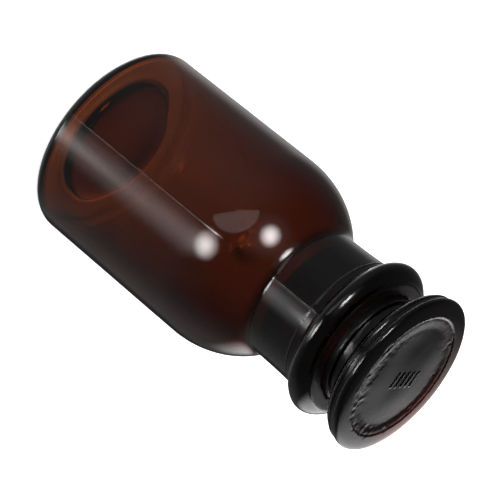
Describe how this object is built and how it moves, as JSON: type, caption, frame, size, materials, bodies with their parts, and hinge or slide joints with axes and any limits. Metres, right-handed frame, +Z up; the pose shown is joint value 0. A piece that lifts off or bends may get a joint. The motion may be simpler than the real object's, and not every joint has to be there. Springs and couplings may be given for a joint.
{
  "type": "reagent bottle",
  "caption": "Wide-mouth amber glass reagent bottle with round shoulders, a beaded collar and a ground, flat-headed glass stopper that lifts out.",
  "frame": {"origin": "centre of the base, on the plane the bottle stands on", "axes": "+Z up along the bottle's axis towards the stopper; turned about Z, so X and Y are alike"},
  "size_m": [0.056, 0.056, 0.108],
  "materials": {
    "bottle_glass": "glossy amber glass, slightly wavy, ground matt inside the mouth and on the top face of the lip",
    "stopper_glass": "thick glossy amber glass with a ground matt plug"
  },
  "bodies": {
    "bottle_body": {"bottle": "bottle_glass"},
    "stopper_body": {"stopper": "stopper_glass"}
  },
  "joints": [
    {"name": "stopper_lift", "type": "slide", "parent": "bottle_body", "child": "stopper_body", "axis": [0, 0, 1], "range_m": [0, 0.04]}
  ]
}
